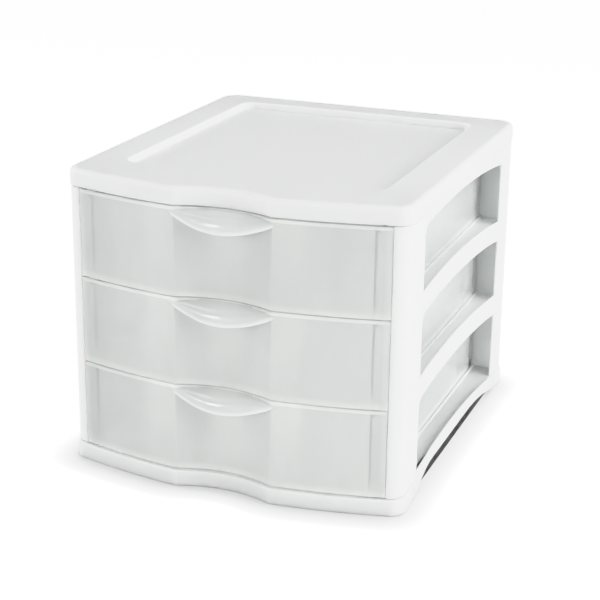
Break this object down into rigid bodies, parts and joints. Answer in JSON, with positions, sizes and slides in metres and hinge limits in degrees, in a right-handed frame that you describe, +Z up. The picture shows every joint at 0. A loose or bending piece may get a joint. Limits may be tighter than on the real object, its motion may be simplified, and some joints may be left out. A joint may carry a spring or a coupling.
{
  "type": "stackable drawer box",
  "caption": "Desktop box of sliding drawers: semi-clear drawers with scooped fronts and finger lips in a white frame with open arched sides and a sunk top tray.",
  "frame": {"origin": "middle of the footprint on the table, under the middle of the whole box", "axes": "+X to the right as seen from the front, the drawer fronts face -Y and open that way, +Z up"},
  "size_m": [0.282, 0.33, 0.244],
  "materials": {
    "frame_white": "white injection-moulded polypropylene, satin",
    "drawer_clear": "semi-clear natural polypropylene with a faint blue-green tint, satin gloss"
  },
  "bodies": {
    "frame": {"top_panel": "frame_white", "base_panel": "frame_white", "side_frame_left": "frame_white", "side_frame_right": "frame_white", "back_panel": "frame_white"},
    "top_drawer": {"drawer_top": "drawer_clear"},
    "middle_drawer": {"drawer_middle": "drawer_clear"},
    "bottom_drawer": {"drawer_bottom": "drawer_clear"}
  },
  "joints": [
    {"name": "top_drawer_slide", "type": "slide", "parent": "frame", "child": "top_drawer", "axis": [0, -1, 0], "range_m": [0, 0.24]},
    {"name": "middle_drawer_slide", "type": "slide", "parent": "frame", "child": "middle_drawer", "axis": [0, -1, 0], "range_m": [0, 0.24]},
    {"name": "bottom_drawer_slide", "type": "slide", "parent": "frame", "child": "bottom_drawer", "axis": [0, -1, 0], "range_m": [0, 0.24]}
  ]
}
